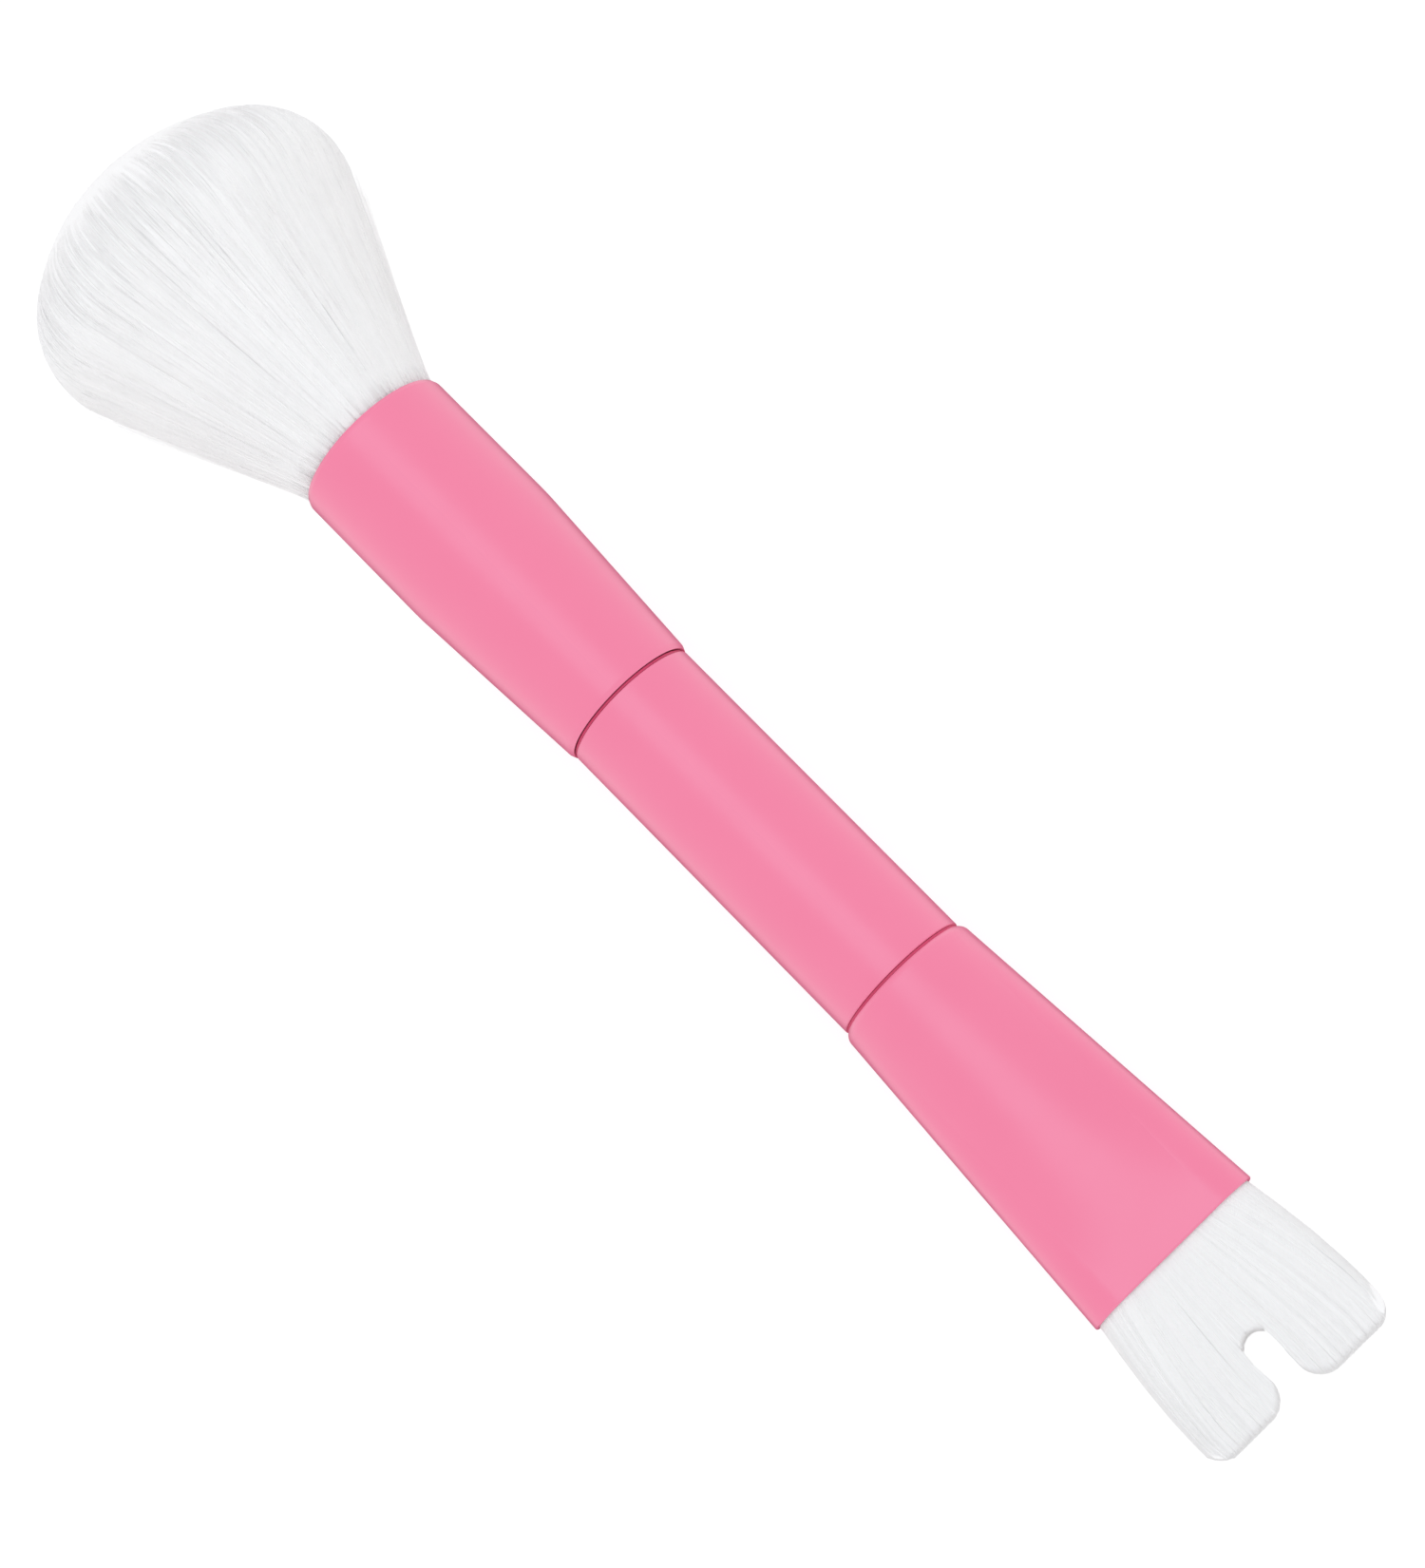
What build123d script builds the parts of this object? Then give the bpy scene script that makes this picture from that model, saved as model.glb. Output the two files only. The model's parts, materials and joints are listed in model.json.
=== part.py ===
from build123d import *
import os
from math import asin, atan, cos, hypot, pi, sin, sqrt

# A double-ended fade brush: a round tuft and a notched flat tuft, each set in a lacquered aluminium
# ferrule, with a short aluminium grip tube between them. Millimetres, +Z up.
# The brush lies as it does on a table. Its axis runs along +X, from the round tuft to the flat tuft,
# and leans down towards the flat tuft, because it rests on the round tuft's belly and on the lower
# lip of the flat ferrule. The origin is on the table, under the middle of the overall length.

# Lengths along the brush axis
grip_length = 42.2              # from seam to seam
seam_gap = 0.35                 # hairline gap between the grip tube and each ferrule
round_ferrule_length = 41.6     # from seam to mouth
round_straight_length = 18.0    # behind the mouth; the rest of the round ferrule tapers
flat_ferrule_length = 40.4      # from seam to mouth
belly_reach = 29.4              # from the round mouth to the tuft's widest place
flat_tuft_reach = 20.1          # free length of the flat tuft's longer lobe

# Sections across the axis
grip_diameter = 16.3
grip_wall = 0.6
round_seam_diameter = 16.95
round_mouth_diameter = 19.5
flat_seam_diameter = 17.3
flat_mouth_width = 22.5
flat_mouth_thickness = 8.8
ferrule_wall = 0.35
belly_diameter = 41.2
belly_round = 10.0              # radius of the belly's roundness, in profile
dome_radius = 25.2              # radius of the round tuft's domed end
flat_tuft_width = 25.0
flat_tuft_full_thickness = 5.2  # where the flat tuft reaches its full width
flat_tuft_tip_thickness = 4.2
fit = 0.05                      # clearance between a shell and what is pressed or glued into it

# Rolled edges of the ferrules
rim_run = 0.6                   # round ferrule's seam edge: how far the roll reaches along the axis
rim_drop = 0.25                 # and how far it turns in
rim_radius = 0.8
flat_rim_run = 1.0              # flat ferrule's seam edge, a fuller roll
flat_rim_drop = 0.5
lip_run = 0.5                   # round ferrule's mouth edge
lip_drop = 0.2
lip_radius = 0.7
flat_lip_radius = 0.22
taper_bend_radius = 30.0        # soft bend where the round ferrule starts to taper
tube_edge_radius = 0.12

# Inserts, roots and bindings inside the shells
shank_length = 12.0             # length of an insert's shank inside the grip tube
shank_radius = grip_diameter / 2 - grip_wall - fit
collar_drop = 0.15              # an insert's collar fills the seam gap to this far under the grip's surface
collar_radius = grip_diameter / 2 - collar_drop
core_radius = 4.6               # moulded hollow of an insert
core_floor = 3.0                # plastic left at the closed end of that hollow
groove_width = 1.4
groove_depth = 0.4
groove_offsets = (3.0, 6.0, 9.0)
plug_inset = 1.3                # an insert's plug starts this far behind the ferrule's seam edge
plug_length = 10.5
glue_length = 3.5
root_length = 13.0
binding_offset = 2.5            # from the glue end of a root to its binding
thread_radius = 0.35
thread_pitch = 0.6
thread_turns = 5
flat_binding_thickness = 0.6
groove_margin = 0.05            # room between a binding and the groove that it lies in

# The flat tuft's two lobes and the keyhole notch between them
lobe_corner_radius = 2.9
upper_lobe_inner_edge = 1.15
lower_lobe_inner_edge = -2.0
lower_lobe_shortfall = 0.9      # the lobe on the -Y side is this much shorter
notch_depth = 8.8
notch_end_radius = 1.85
full_width_reach = 14.0         # from the flat mouth to where the tuft has its full width

# Stations along the axis, from the middle of the grip, positive towards the flat tuft
round_seam = -grip_length / 2
flat_seam = grip_length / 2
round_edge = round_seam - seam_gap / 2
flat_edge = flat_seam + seam_gap / 2
round_mouth = round_seam - round_ferrule_length
flat_mouth = flat_seam + flat_ferrule_length
round_bend = round_mouth + round_straight_length
flat_form_start = flat_edge + flat_rim_run
belly = round_mouth - belly_reach
flat_tip = flat_mouth + flat_tuft_reach

# Profile of the round tuft: a flare, a rounded belly and a dome, each tangent to the next
tuft_neck_radius = round_mouth_diameter / 2 - lip_drop - ferrule_wall - fit
belly_centre_radius = belly_diameter / 2 - belly_round
dome_offset = sqrt((dome_radius - belly_round) ** 2 - belly_centre_radius ** 2)
dome_centre = belly + dome_offset
round_tip = dome_centre - dome_radius
flare_rise = belly_centre_radius - tuft_neck_radius
flare_angle = atan(flare_rise / belly_reach) + asin(belly_round / hypot(belly_reach, flare_rise))
flare_start = (round_mouth, tuft_neck_radius)
flare_end = (belly + belly_round * sin(flare_angle), belly_centre_radius + belly_round * cos(flare_angle))
dome_scale = dome_radius / (dome_radius - belly_round)
dome_start = (dome_centre - dome_offset * dome_scale, belly_centre_radius * dome_scale)

# Pose on the table
lean = atan((belly_diameter - flat_mouth_thickness) / 2 / (flat_mouth - belly))
axis_direction = Vector(cos(lean), 0, -sin(lean))
middle = Vector(
    -(round_tip + flat_tip) / 2 * cos(lean),
    0,
    flat_mouth * sin(lean) + flat_mouth_thickness / 2 * cos(lean),
)
brush_axis = Axis(middle, axis_direction)
profile_plane = Plane(origin=middle, x_dir=axis_direction, z_dir=(0, -1, 0))
plan_plane = Plane(origin=middle, x_dir=axis_direction, z_dir=(sin(lean), 0, cos(lean)))


def across(station):
    """The plane across the brush axis at a station; its x runs along +Y."""
    return Plane(origin=middle + axis_direction * station, x_dir=(0, 1, 0), z_dir=axis_direction)


def round_bore(station):
    """Radius of the round ferrule's bore at a station."""
    taper = max(0.0, (station - round_bend) / (round_seam - round_bend))
    narrowing = taper * (round_mouth_diameter - round_seam_diameter) / 2
    return round_mouth_diameter / 2 - ferrule_wall - narrowing


def turned(*corners, mode=Mode.ADD):
    """Spin the closed outline through corners, each a station and a radius, about the brush axis."""
    with BuildSketch(profile_plane) as outline:
        with BuildLine():
            Polyline(*corners, close=True)
        make_face()
    revolve(outline.sketch, axis=brush_axis, mode=mode)


def turned_band(start, end, outer, inner=0.0, mode=Mode.ADD):
    """Spin a plain rectangular band between two stations and two radii."""
    turned((start, inner), (start, outer), (end, outer), (end, inner), mode=mode)


def round_filling(start, end):
    """Spin a solid that fills the round ferrule's bore between two stations, less the fit."""
    bend = [(round_bend, round_bore(round_bend) - fit)] if end < round_bend < start else []
    turned(
        (start, 0),
        (start, round_bore(start) - fit),
        *bend,
        (end, round_bore(end) - fit),
        (end, 0),
    )


def insert_shank(seam, root, inward):
    """An insert's shank with glue grooves, which goes into the grip tube, and its collar in the seam gap."""
    end = seam + inward * shank_length
    turned_band(root, end, shank_radius)
    turned_band(seam - seam_gap / 2 + fit, seam + seam_gap / 2 - fit, collar_radius)
    for offset in groove_offsets:
        groove = seam + inward * offset
        turned_band(
            groove,
            groove + inward * groove_width,
            shank_radius,
            shank_radius - groove_depth,
            mode=Mode.SUBTRACT,
        )


def flat_section(station, inset):
    """Draw the flat ferrule's section at its round end or its mouth, drawn in by inset.

    Both sections have two side arcs and two broad edges. The arcs of the round end span the same
    fraction of the whole outline as the mouth's semicircles do, so the form between has no crease.
    """
    end_radius = flat_mouth_thickness / 2 - inset
    half_flat = (flat_mouth_width - flat_mouth_thickness) / 2
    side_arc = pi * end_radius
    sweep = 180 * side_arc / (side_arc + 2 * half_flat)
    round_radius = flat_seam_diameter / 2 - inset
    with BuildSketch(across(station)) as section_outline:
        with BuildLine():
            if station < flat_mouth:
                CenterArc((0, 0), round_radius, -sweep / 2, sweep)
                CenterArc((0, 0), round_radius, sweep / 2, 180 - sweep)
                CenterArc((0, 0), round_radius, 180 - sweep / 2, sweep)
                CenterArc((0, 0), round_radius, 180 + sweep / 2, 180 - sweep)
            else:
                CenterArc((half_flat, 0), end_radius, -90, 180)
                Line((half_flat, end_radius), (-half_flat, end_radius))
                CenterArc((-half_flat, 0), end_radius, 90, 180)
                Line((-half_flat, -end_radius), (half_flat, -end_radius))
        make_face()
    return section_outline.sketch


def flat_form(inset, start, end):
    """The round-to-flat form of the flat ferrule, drawn in by inset, between two stations."""
    with BuildPart() as form:
        loft([flat_section(flat_form_start, inset), flat_section(flat_mouth, inset)], ruled=True)
        if start > flat_form_start:
            split(bisect_by=across(start), keep=Keep.TOP)
        if end < flat_mouth:
            split(bisect_by=across(end), keep=Keep.BOTTOM)
    return form.part


os.makedirs("parts", exist_ok=True)

# Grip tube: plain drawn aluminium tube
with BuildPart() as grip_tube:
    turned_band(
        round_seam + seam_gap / 2,
        flat_seam - seam_gap / 2,
        grip_diameter / 2,
        grip_diameter / 2 - grip_wall,
    )
    outer_edges = grip_tube.edges().filter_by(GeomType.CIRCLE).group_by(SortBy.RADIUS)[-1]
    fillet(outer_edges, radius=tube_edge_radius)
grip_tube.part.label = "grip_tube"
export_step(grip_tube.part, "parts/grip_tube.step")

# Round ferrule: one thin sheet, rolled in at both ends, straight behind the mouth, then tapered
with BuildPart() as round_ferrule:
    with BuildSketch(profile_plane):
        with BuildLine():
            FilletPolyline(
                (round_edge, round_seam_diameter / 2 - rim_drop),
                (round_edge - rim_run, round_seam_diameter / 2),
                (round_bend, round_mouth_diameter / 2),
                (round_mouth + lip_run, round_mouth_diameter / 2),
                (round_mouth, round_mouth_diameter / 2 - lip_drop),
                radius=(rim_radius, taper_bend_radius, lip_radius),
            )
            offset(amount=ferrule_wall, side=Side.LEFT)
        make_face()
    revolve(axis=brush_axis)
round_ferrule.part.label = "round_ferrule"
export_step(round_ferrule.part, "parts/round_ferrule.step")

# Flat ferrule: round at the seam, pressed to a straight-sided mouth with round ends
flat_outer = flat_form(0, flat_form_start, flat_mouth)
flat_bore = flat_form(ferrule_wall, flat_form_start, flat_mouth)
with BuildPart() as flat_ferrule:
    add(flat_outer)
    add(flat_bore, mode=Mode.SUBTRACT)
    mouth_face = flat_ferrule.faces().sort_by(brush_axis)[-1]
    fillet(mouth_face.outer_wire().edges(), radius=flat_lip_radius)
    with BuildSketch(profile_plane):
        with BuildLine():
            rim_start = (flat_form_start, flat_seam_diameter / 2)
            rim_end = (flat_edge, flat_seam_diameter / 2 - flat_rim_drop)
            roll = TangentArc(rim_start, rim_end, tangent=(-1, 0))
            inner_end = (flat_edge, flat_seam_diameter / 2 - flat_rim_drop - ferrule_wall)
            inner_start = (flat_form_start, flat_seam_diameter / 2 - ferrule_wall)
            Line(rim_end, inner_end)
            TangentArc(inner_start, inner_end, tangent=(-1, 0))
            Line(inner_start, rim_start)
        make_face()
    revolve(axis=brush_axis)
flat_ferrule.part.label = "flat_ferrule"
export_step(flat_ferrule.part, "parts/flat_ferrule.step")

# Stations of what fills the two ferrules, from each seam outwards
round_plug_start = round_edge - plug_inset
round_plug_end = round_plug_start - plug_length
round_glue_end = round_plug_end - glue_length
round_root_end = round_glue_end - root_length
flat_plug_start = flat_edge + plug_inset
flat_plug_end = flat_plug_start + plug_length
flat_glue_end = flat_plug_end + glue_length
flat_root_end = flat_glue_end + root_length

# Round insert: a tapered plug wedged in the ferrule, with a shank glued into the grip tube
with BuildPart() as round_insert:
    round_filling(round_plug_start, round_plug_end)
    insert_shank(round_seam, round_plug_start, 1)
    turned_band(round_plug_end + core_floor, round_seam + shank_length, core_radius, mode=Mode.SUBTRACT)
round_insert.part.label = "round_insert"
export_step(round_insert.part, "parts/round_insert.step")

# Flat insert: the same shank, with a plug that follows the flat ferrule's form
flat_plug = flat_form(ferrule_wall + fit, flat_plug_start, flat_plug_end)
with BuildPart() as flat_insert:
    add(flat_plug)
    insert_shank(flat_seam, flat_plug_start, -1)
    turned_band(flat_plug_end - core_floor, flat_seam - shank_length, core_radius, mode=Mode.SUBTRACT)
flat_insert.part.label = "flat_insert"
export_step(flat_insert.part, "parts/flat_insert.step")

# Resin plugs: cast behind the filament roots
with BuildPart() as round_resin_plug:
    round_filling(round_plug_end, round_glue_end)
round_resin_plug.part.label = "round_resin_plug"
export_step(round_resin_plug.part, "parts/round_resin_plug.step")

flat_resin_form = flat_form(ferrule_wall + fit, flat_plug_end, flat_glue_end)
with BuildPart() as flat_resin_plug:
    add(flat_resin_form)
flat_resin_plug.part.label = "flat_resin_plug"
export_step(flat_resin_plug.part, "parts/flat_resin_plug.step")

# Round root and its binding: the bonded filament roots, tied by turns of thread in a waist
round_binding_start = round_glue_end - binding_offset
round_binding_length = thread_pitch * (thread_turns - 1) + 2 * thread_radius
round_waist_start = round_binding_start + groove_margin
round_waist_end = round_binding_start - round_binding_length - groove_margin
round_waist_radius = round_bore(round_waist_start) - fit - 2 * thread_radius - groove_margin
with BuildPart() as round_root_binding:
    with BuildSketch(profile_plane):
        for turn in range(thread_turns):
            station = round_binding_start - thread_radius - turn * thread_pitch
            with Locations((station, round_bore(station) - fit - thread_radius)):
                Circle(thread_radius)
    revolve(axis=brush_axis)
round_root_binding.part.label = "round_root_binding"
export_step(round_root_binding.part, "parts/round_root_binding.step")

with BuildPart() as round_tuft_root:
    round_filling(round_glue_end, round_root_end)
    turned_band(
        round_waist_start,
        round_waist_end,
        round_mouth_diameter / 2,
        round_waist_radius,
        mode=Mode.SUBTRACT,
    )
round_tuft_root.part.label = "round_tuft_root"
export_step(round_tuft_root.part, "parts/round_tuft_root.step")

# Flat root and its binding: the same, with a flat band of thread that follows the form
flat_binding_start = flat_glue_end + binding_offset
flat_binding_end = flat_binding_start + round_binding_length
flat_band_outer = flat_form(ferrule_wall + fit, flat_binding_start, flat_binding_end)
flat_band_inner = flat_form(ferrule_wall + fit + flat_binding_thickness, flat_binding_start, flat_binding_end)
flat_waist_start = flat_binding_start - groove_margin
flat_waist_end = flat_binding_end + groove_margin
flat_waist_depth = ferrule_wall + fit + flat_binding_thickness + groove_margin
flat_waist_outer = flat_form(ferrule_wall, flat_waist_start, flat_waist_end)
flat_waist_inner = flat_form(flat_waist_depth, flat_waist_start, flat_waist_end)
flat_waist = flat_waist_outer - flat_waist_inner
flat_root_form = flat_form(ferrule_wall + fit, flat_glue_end, flat_root_end)
with BuildPart() as flat_root_binding:
    add(flat_band_outer)
    add(flat_band_inner, mode=Mode.SUBTRACT)
flat_root_binding.part.label = "flat_root_binding"
export_step(flat_root_binding.part, "parts/flat_root_binding.step")

with BuildPart() as flat_tuft_root:
    add(flat_root_form)
    add(flat_waist, mode=Mode.SUBTRACT)
flat_tuft_root.part.label = "flat_tuft_root"
export_step(flat_tuft_root.part, "parts/flat_tuft_root.step")

# Round tuft: free filaments, a straight flare from the mouth to the belly, then a dome
with BuildPart() as round_tuft:
    with BuildSketch(profile_plane):
        with BuildLine():
            Polyline((round_tip, 0), (round_root_end, 0), (round_root_end, tuft_neck_radius), flare_start)
            flare = Line(flare_start, flare_end)
            belly_arc = TangentArc(flare @ 1, dome_start, tangent=flare % 1)
            TangentArc(belly_arc @ 1, (round_tip, 0), tangent=belly_arc % 1)
        make_face()
    revolve(axis=brush_axis)
round_tuft.part.label = "round_tuft"
export_step(round_tuft.part, "parts/round_tuft.step")

# Flat tuft: free filaments that fan out and thin towards two rounded lobes with a keyhole notch
flat_tuft_inside = flat_form(ferrule_wall + fit, flat_root_end, flat_mouth)
lobes = (
    (upper_lobe_inner_edge, flat_tuft_width / 2, flat_tip),
    (-flat_tuft_width / 2, lower_lobe_inner_edge, flat_tip - lower_lobe_shortfall),
)
notch_centre = (upper_lobe_inner_edge + lower_lobe_inner_edge) / 2
notch_end = flat_tip - notch_depth + notch_end_radius
shell = 2 * (ferrule_wall + fit)
tuft_sections = (
    (flat_mouth, flat_mouth_width - shell, flat_mouth_thickness - shell),
    (flat_mouth + full_width_reach, flat_tuft_width, flat_tuft_full_thickness),
    (flat_tip, flat_tuft_width, flat_tuft_tip_thickness),
)
with BuildPart() as flat_tuft:
    for station, width, thickness in tuft_sections:
        with BuildSketch(across(station)):
            SlotOverall(width, thickness)
    loft()
    with BuildSketch(plan_plane):
        with Locations(((flat_mouth + notch_end) / 2, 0)):
            Rectangle(notch_end - flat_mouth, 2 * flat_tuft_width)
        for low, high, tip in lobes:
            with Locations(((flat_mouth + full_width_reach / 2 + tip) / 2, (low + high) / 2)):
                RectangleRounded(tip - flat_mouth - full_width_reach / 2, high - low, lobe_corner_radius)
        with Locations((notch_end, notch_centre)):
            Circle(notch_end_radius, mode=Mode.SUBTRACT)
    extrude(amount=flat_mouth_thickness, both=True, mode=Mode.INTERSECT)
    add(flat_tuft_inside)
flat_tuft.part.label = "flat_tuft"
export_step(flat_tuft.part, "parts/flat_tuft.step")
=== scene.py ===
import json
import math

import bpy
import numpy as np
from mathutils import Matrix, Vector


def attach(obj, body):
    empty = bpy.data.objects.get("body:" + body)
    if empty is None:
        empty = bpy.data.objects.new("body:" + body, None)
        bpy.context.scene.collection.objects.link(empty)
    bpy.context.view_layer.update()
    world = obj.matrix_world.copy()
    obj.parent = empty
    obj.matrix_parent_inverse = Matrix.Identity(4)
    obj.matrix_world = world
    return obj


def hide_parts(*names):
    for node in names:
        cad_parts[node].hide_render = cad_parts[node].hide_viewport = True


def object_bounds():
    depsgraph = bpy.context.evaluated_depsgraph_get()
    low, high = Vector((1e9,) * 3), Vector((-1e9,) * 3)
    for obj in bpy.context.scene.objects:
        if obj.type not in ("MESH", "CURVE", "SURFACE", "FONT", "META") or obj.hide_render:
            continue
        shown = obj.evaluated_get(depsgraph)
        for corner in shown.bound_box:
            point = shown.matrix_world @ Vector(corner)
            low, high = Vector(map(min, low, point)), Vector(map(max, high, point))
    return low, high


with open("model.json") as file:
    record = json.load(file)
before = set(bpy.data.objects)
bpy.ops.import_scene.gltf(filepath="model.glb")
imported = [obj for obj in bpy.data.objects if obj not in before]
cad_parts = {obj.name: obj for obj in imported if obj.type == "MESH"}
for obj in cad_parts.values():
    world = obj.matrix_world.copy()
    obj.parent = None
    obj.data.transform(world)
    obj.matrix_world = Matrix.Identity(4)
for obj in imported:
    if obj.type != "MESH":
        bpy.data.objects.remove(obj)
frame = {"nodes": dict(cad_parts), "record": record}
cad_low, cad_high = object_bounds()

# A double-ended fade brush. Metres, in the frame of the CAD model: the brush leans down towards +X.
MM = 0.001
SEED = 11

# The brush axis, from the record's grip mount: its origin is the middle of the grip, and a station is a
# distance along the axis from there, positive towards the flat tuft.
grip = next(m for m in frame["record"]["mounts"] if m["name"] == "grip")
MIDDLE = np.array(grip["pos_m"], float)
AXIS = np.array(grip["axis"], float) / np.linalg.norm(grip["axis"])
ACROSS = np.array([0.0, 1.0, 0.0])
RISE = np.cross(AXIS, ACROSS)


def points_of(node):
    """The vertices of a CAD node, in the row frame."""
    mesh = frame["nodes"][node].data
    found = np.zeros(len(mesh.vertices) * 3)
    mesh.vertices.foreach_get("co", found)
    return found.reshape(-1, 3)


def on_brush(points):
    """Station, sideways and upwards coordinates of points, measured from the brush axis."""
    local = points - MIDDLE
    return local @ AXIS, local @ ACROSS, local @ RISE


def to_row(station, across, rise):
    """Points in the row frame from their coordinates about the brush axis."""
    station, across, rise = np.broadcast_arrays(station, across, rise)
    return MIDDLE + station[..., None] * AXIS + across[..., None] * ACROSS + rise[..., None] * RISE


def unit(vectors):
    return vectors / np.linalg.norm(vectors, axis=-1, keepdims=True)


def smooth(x):
    """A soft step from 0 to 1."""
    x = np.clip(x, 0.0, 1.0)
    return x * x * (3.0 - 2.0 * x)


# ---------------------------------------------------------------- camera and light

FOCAL = 99.4
SENSOR = 36.0
CAMERA_DISTANCE = 464 * MM
VIEW_TILT = math.radians(13.05)     # from square on to the axis, towards the flat tuft
VIEW_ROLL = math.radians(45.32)     # the axis runs down to the right in the picture
AIM_STATION = -8.54 * MM
AIM_ACROSS = 0.24 * MM
CLIP = (0.01, 20.0)
ROOM_WALLS = 0.98
ROOM_CEILING = 0.78
ROOM_DARK = -0.85                   # the room's height, -1 to 1, below which it is dark
ROOM_LIT = -0.62                    # and the one from which it is lit
SOFTBOX_PLACE = (-0.08, 0.0, 0.9)   # from the middle of the brush
SOFTBOX_SIZE = (1.2, 0.55)
SOFTBOX_POWER = 2.3
SOFTBOX_COLOUR = (0.86, 0.97, 1.03)
FLOOR_HALF = 3.0
FLOOR_GREY = 0.3
FLOOR_GLOW = 0.78
FLOOR_DROP = 0.05 * MM              # under the lowest point of the brush
WHITE = (1.0, 1.0, 1.0, 1.0)


def make_camera():
    toward = math.cos(VIEW_TILT) * RISE + math.sin(VIEW_TILT) * AXIS
    along = unit(AXIS - (AXIS @ toward) * toward)
    right = math.cos(VIEW_ROLL) * along + math.sin(VIEW_ROLL) * ACROSS
    up = np.cross(toward, right)
    aim = to_row(np.array(AIM_STATION), np.array(AIM_ACROSS), np.array(0.0))
    data = bpy.data.cameras.new("camera")
    data.lens = FOCAL
    data.sensor_width = SENSOR
    data.clip_start, data.clip_end = CLIP
    camera = bpy.data.objects.new("camera", data)
    pose = Matrix(np.column_stack([right, up, toward]).tolist()).to_4x4()
    pose.translation = Vector(aim + toward * CAMERA_DISTANCE)
    camera.matrix_world = pose
    bpy.context.scene.collection.objects.link(camera)
    bpy.context.scene.camera = camera


def make_softbox():
    """A soft light that faces down, its long side along the brush."""
    data = bpy.data.lights.new("softbox", "AREA")
    data.shape = "RECTANGLE"
    data.size, data.size_y = SOFTBOX_SIZE
    data.energy = SOFTBOX_POWER
    data.color = SOFTBOX_COLOUR
    light = bpy.data.objects.new("softbox", data)
    light.location = (cad_low + cad_high) / 2 + Vector(SOFTBOX_PLACE)
    bpy.context.scene.collection.objects.link(light)


def make_world():
    """A white room, a little brighter round its walls than overhead, and dark straight below.

    The floor hides what is below from everything but reflections. There the dark part gives the brush
    its thin dark edges.
    """
    world = bpy.data.worlds.new("studio")
    world.use_nodes = True
    tree = world.node_tree
    coords = tree.nodes.new("ShaderNodeTexCoord")
    split = tree.nodes.new("ShaderNodeSeparateXYZ")
    height = tree.nodes.new("ShaderNodeMapRange")
    height.inputs["To Min"].default_value = ROOM_WALLS
    height.inputs["To Max"].default_value = ROOM_CEILING
    below = tree.nodes.new("ShaderNodeMapRange")
    below.inputs["From Min"].default_value = ROOM_DARK
    below.inputs["From Max"].default_value = ROOM_LIT
    strength = tree.nodes.new("ShaderNodeMath")
    strength.operation = "MULTIPLY"
    tree.links.new(coords.outputs["Generated"], split.inputs[0])
    tree.links.new(split.outputs["Z"], height.inputs["Value"])
    tree.links.new(split.outputs["Z"], below.inputs["Value"])
    tree.links.new(height.outputs["Result"], strength.inputs[0])
    tree.links.new(below.outputs["Result"], strength.inputs[1])
    tree.links.new(strength.outputs["Value"], tree.nodes["Background"].inputs["Strength"])
    tree.nodes["Background"].inputs["Color"].default_value = WHITE
    bpy.context.scene.world = world


def make_studio():
    view = bpy.context.scene.view_settings
    view.view_transform = "Standard"
    view.look = "None"
    make_world()
    make_softbox()


def make_floor():
    """A large white light table: it glows, so that shadows on it stay faint."""
    half = FLOOR_HALF
    mesh = bpy.data.meshes.new("floor")
    corners = [(-half, -half, 0), (half, -half, 0), (half, half, 0), (-half, half, 0)]
    mesh.from_pydata(corners, [], [(0, 1, 2, 3)])
    floor = bpy.data.objects.new("floor", mesh)
    floor.location.z = cad_low.z - FLOOR_DROP
    floor.visible_glossy = False
    bpy.context.scene.collection.objects.link(floor)
    material = bpy.data.materials.new("floor")
    material.use_nodes = True
    shader = material.node_tree.nodes["Principled BSDF"]
    shader.inputs["Base Color"].default_value = (FLOOR_GREY, FLOOR_GREY, FLOOR_GREY, 1.0)
    shader.inputs["Roughness"].default_value = 0.9
    shader.inputs["Specular IOR Level"].default_value = 0.1
    shader.inputs["Emission Color"].default_value = WHITE
    shader.inputs["Emission Strength"].default_value = FLOOR_GLOW
    mesh.materials.append(material)


# ---------------------------------------------------------------- materials


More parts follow.
